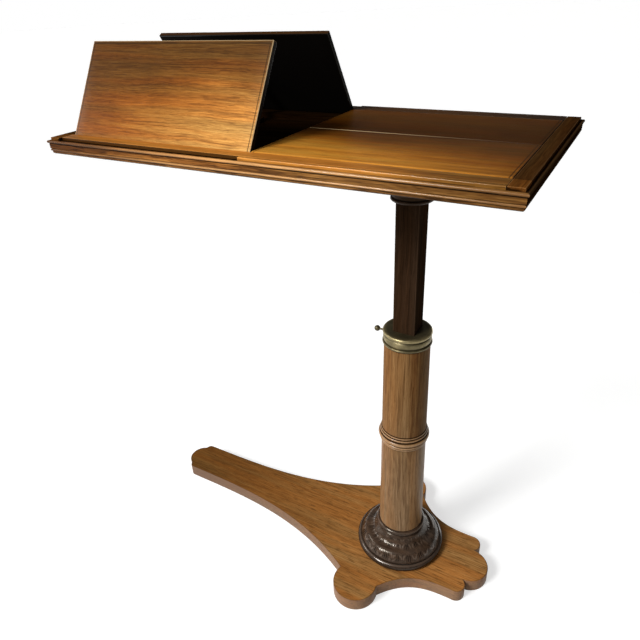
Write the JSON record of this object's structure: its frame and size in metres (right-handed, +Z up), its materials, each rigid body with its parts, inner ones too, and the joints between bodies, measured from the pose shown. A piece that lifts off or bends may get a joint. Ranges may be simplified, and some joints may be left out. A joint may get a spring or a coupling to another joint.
{
  "type": "adjustable reading table",
  "caption": "Reading table: a turned column on a shaped board holds a sliding square post and an off-centre top whose quarters hinge up on struts as sloping book rests.",
  "frame": {"origin": "on the floor under the column's axis, in the middle of the column's tenon", "axes": "+Z up along the column, +X to the short end of the base, -Y to the front"},
  "size_m": [0.7393, 0.3686, 0.9565],
  "materials": {
    "walnut": "satin polish",
    "figured": "satin polish",
    "rosewood": "satin polish",
    "ebonised": "dark gloss polish",
    "brass": "aged satin",
    "steel": "satin"
  },
  "bodies": {
    "pedestal": {"base_platform": "walnut", "foot_ring": "ebonised", "column": "walnut", "tenon_wedge_1": "ebonised", "tenon_wedge_2": "ebonised", "collar": "brass"},
    "top": {"square_post": "ebonised", "post_shoe": "walnut", "shoe_screw": "brass", "post_boss": "ebonised", "top_bearer": "walnut", "tenon_pin": "ebonised", "bearer_screw_1": "brass", "bearer_screw_2": "brass", "bearer_screw_3": "brass", "bearer_screw_4": "brass", "bed_board": "walnut", "front_moulding": "rosewood", "back_moulding": "rosewood", "left_moulding": "rosewood", "right_moulding": "rosewood", "left_end_rail": "rosewood", "right_end_rail": "rosewood", "front_ledge": "walnut", "back_ledge": "walnut", "front_hinge_rod": "steel", "back_hinge_rod": "steel", "front_left_rack": "rosewood", "front_right_rack": "rosewood", "back_left_rack": "rosewood", "back_right_rack": "rosewood"},
    "clamp_pad": {"pressure_pad": "brass"},
    "clamp_knob": {"clamp_screw": "brass"},
    "front_left_flap": {"front_left_flap": "figured", "front_left_strut_bracket": "brass", "front_left_strut_pin": "steel"},
    "front_left_strut": {"front_left_strut": "walnut"},
    "front_left_stop": {"front_left_book_stop": "walnut"},
    "front_right_flap": {"front_right_flap": "figured", "front_right_strut_bracket": "brass", "front_right_strut_pin": "steel"},
    "front_right_strut": {"front_right_strut": "walnut"},
    "front_right_stop": {"front_right_book_stop": "walnut"},
    "back_left_flap": {"back_left_flap": "figured", "back_left_strut_bracket": "brass", "back_left_strut_pin": "steel"},
    "back_left_strut": {"back_left_strut": "walnut"},
    "back_left_stop": {"back_left_book_stop": "walnut"},
    "back_right_flap": {"back_right_flap": "figured", "back_right_strut_bracket": "brass", "back_right_strut_pin": "steel"},
    "back_right_strut": {"back_right_strut": "walnut"},
    "back_right_stop": {"back_right_book_stop": "walnut"}
  },
  "joints": [
    {"name": "post_slide", "type": "slide", "parent": "pedestal", "child": "top", "axis": [0, 0, 1], "range_m": [-0.18, 0.16]},
    {"name": "pad_slide", "type": "slide", "parent": "pedestal", "child": "clamp_pad", "axis": [-1, 0, 0], "range_m": [0, 0.002]},
    {"name": "screw_turn", "type": "hinge", "parent": "clamp_pad", "child": "clamp_knob", "pos_m": [-0.056, 0, 0.5163], "axis": [1, 0, 0], "range_deg": [0, 720.1]},
    {"name": "front_left_flap_hinge", "type": "hinge", "parent": "top", "child": "front_left_flap", "pos_m": [-0.33165, -0.1472, 0.8299], "axis": [1, 0, 0], "range_deg": [-58.4, 0]},
    {"name": "front_left_strut_hinge", "type": "hinge", "parent": "front_left_flap", "child": "front_left_strut", "pos_m": [-0.33165, -0.1054, 0.88238], "axis": [-1, 0, 0], "range_deg": [-116.8, 0]},
    {"name": "front_left_stop_slide", "type": "slide", "parent": "top", "child": "front_left_stop", "axis": [0, 0, 1], "range_m": [0, 0.01]},
    {"name": "front_right_flap_hinge", "type": "hinge", "parent": "top", "child": "front_right_flap", "pos_m": [-0.00035, -0.1472, 0.8299], "axis": [1, 0, 0], "range_deg": [0, 58.4]},
    {"name": "front_right_strut_hinge", "type": "hinge", "parent": "front_right_flap", "child": "front_right_strut", "pos_m": [-0.00035, -0.0806, 0.8218], "axis": [-1, 0, 0], "range_deg": [0, 116.8]},
    {"name": "front_right_stop_slide", "type": "slide", "parent": "top", "child": "front_right_stop", "axis": [0, 0, 1], "range_m": [-0.004, 0.006]},
    {"name": "back_left_flap_hinge", "type": "hinge", "parent": "top", "child": "back_left_flap", "pos_m": [-0.33165, 0.1472, 0.8299], "axis": [-1, 0, 0], "range_deg": [-58.4, 0]},
    {"name": "back_left_strut_hinge", "type": "hinge", "parent": "back_left_flap", "child": "back_left_strut", "pos_m": [-0.33165, 0.1054, 0.88238], "axis": [1, 0, 0], "range_deg": [-116.8, 0]},
    {"name": "back_left_stop_slide", "type": "slide", "parent": "top", "child": "back_left_stop", "axis": [0, 0, 1], "range_m": [0, 0.01]},
    {"name": "back_right_flap_hinge", "type": "hinge", "parent": "top", "child": "back_right_flap", "pos_m": [-0.00035, 0.1472, 0.8299], "axis": [-1, 0, 0], "range_deg": [0, 58.4]},
    {"name": "back_right_strut_hinge", "type": "hinge", "parent": "back_right_flap", "child": "back_right_strut", "pos_m": [-0.00035, 0.0806, 0.8218], "axis": [1, 0, 0], "range_deg": [0, 116.8]},
    {"name": "back_right_stop_slide", "type": "slide", "parent": "top", "child": "back_right_stop", "axis": [0, 0, 1], "range_m": [-0.004, 0.006]}
  ],
  "couplings": [
    {"joint": "screw_turn", "follows": "pad_slide", "rad_per_m": 6283.2},
    {"joint": "front_left_strut_hinge", "follows": "front_left_flap_hinge", "ratio": 2},
    {"joint": "front_right_strut_hinge", "follows": "front_right_flap_hinge", "ratio": 2},
    {"joint": "back_left_strut_hinge", "follows": "back_left_flap_hinge", "ratio": 2},
    {"joint": "back_right_strut_hinge", "follows": "back_right_flap_hinge", "ratio": 2}
  ]
}
